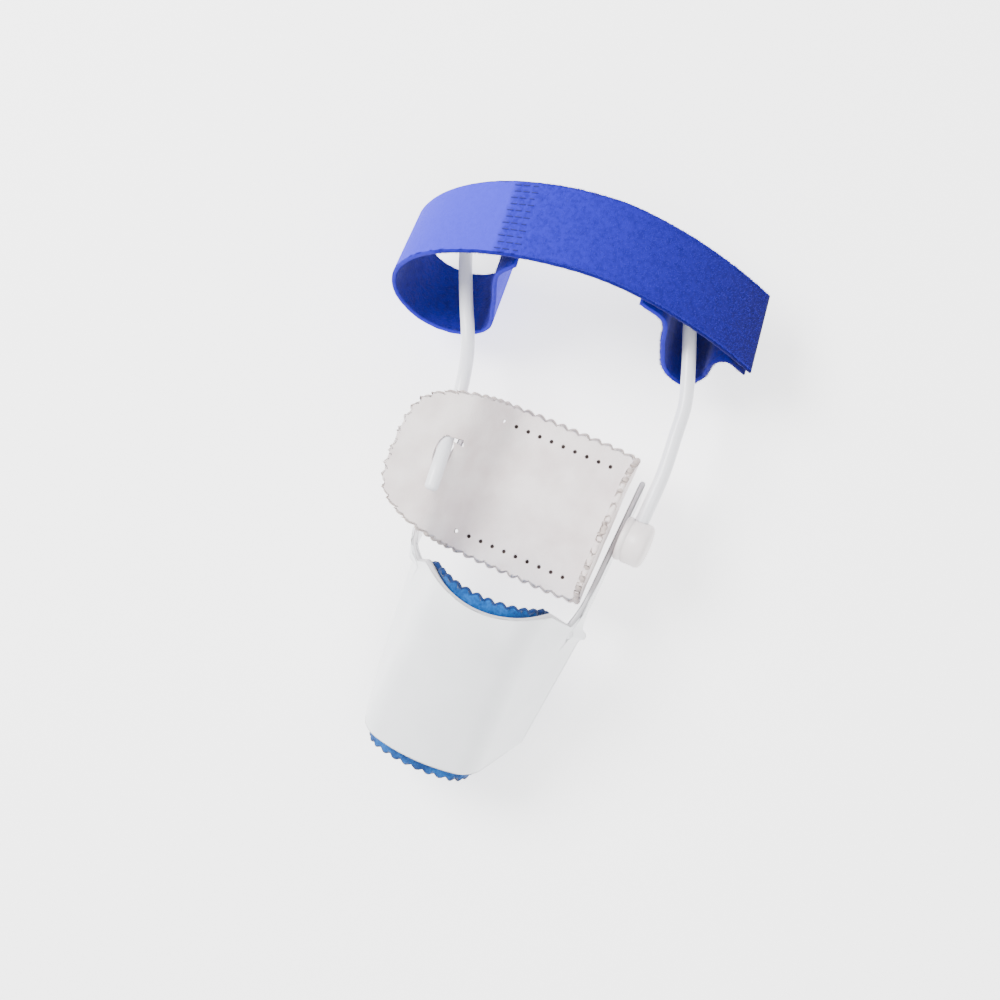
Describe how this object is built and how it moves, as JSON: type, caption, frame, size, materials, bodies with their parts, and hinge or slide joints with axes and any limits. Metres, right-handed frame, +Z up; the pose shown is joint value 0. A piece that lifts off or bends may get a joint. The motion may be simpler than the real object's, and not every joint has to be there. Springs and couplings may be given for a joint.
{
  "type": "bunion corrector",
  "caption": "Bunion corrector splint: white lined toe plate with arms, pinked leather pad between them, bent side rods with knobs, and a blue hook-and-loop strap.",
  "frame": {"origin": "On the surface that the splint stands on, under the middle of its box.", "axes": "+Z up; Y from the toe end of the plate to the strap; X across the splint, to the right seen from above with the strap away from the viewer."},
  "size_m": [0.0938, 0.1466, 0.0472],
  "materials": {
    "plate_white": "smooth satin white",
    "lining_felt": "blue felt with pinked edges",
    "pad_leather": "soft pale leather with pinked edges and a row of holes near each long edge",
    "rod_white": "white sleeved spring rod",
    "knob_plastic": "pale moulded plastic",
    "strap_tape": "blue hook-and-loop tape with a brushed pile"
  },
  "bodies": {
    "root": {"toe_plate": "plate_white", "plate_lining": "lining_felt", "bunion_pad": "pad_leather", "left_rod": "rod_white", "right_rod": "rod_white", "left_knob": "knob_plastic", "right_knob": "knob_plastic", "instep_strap": "strap_tape", "right_loop": "strap_tape"}
  },
  "joints": []
}
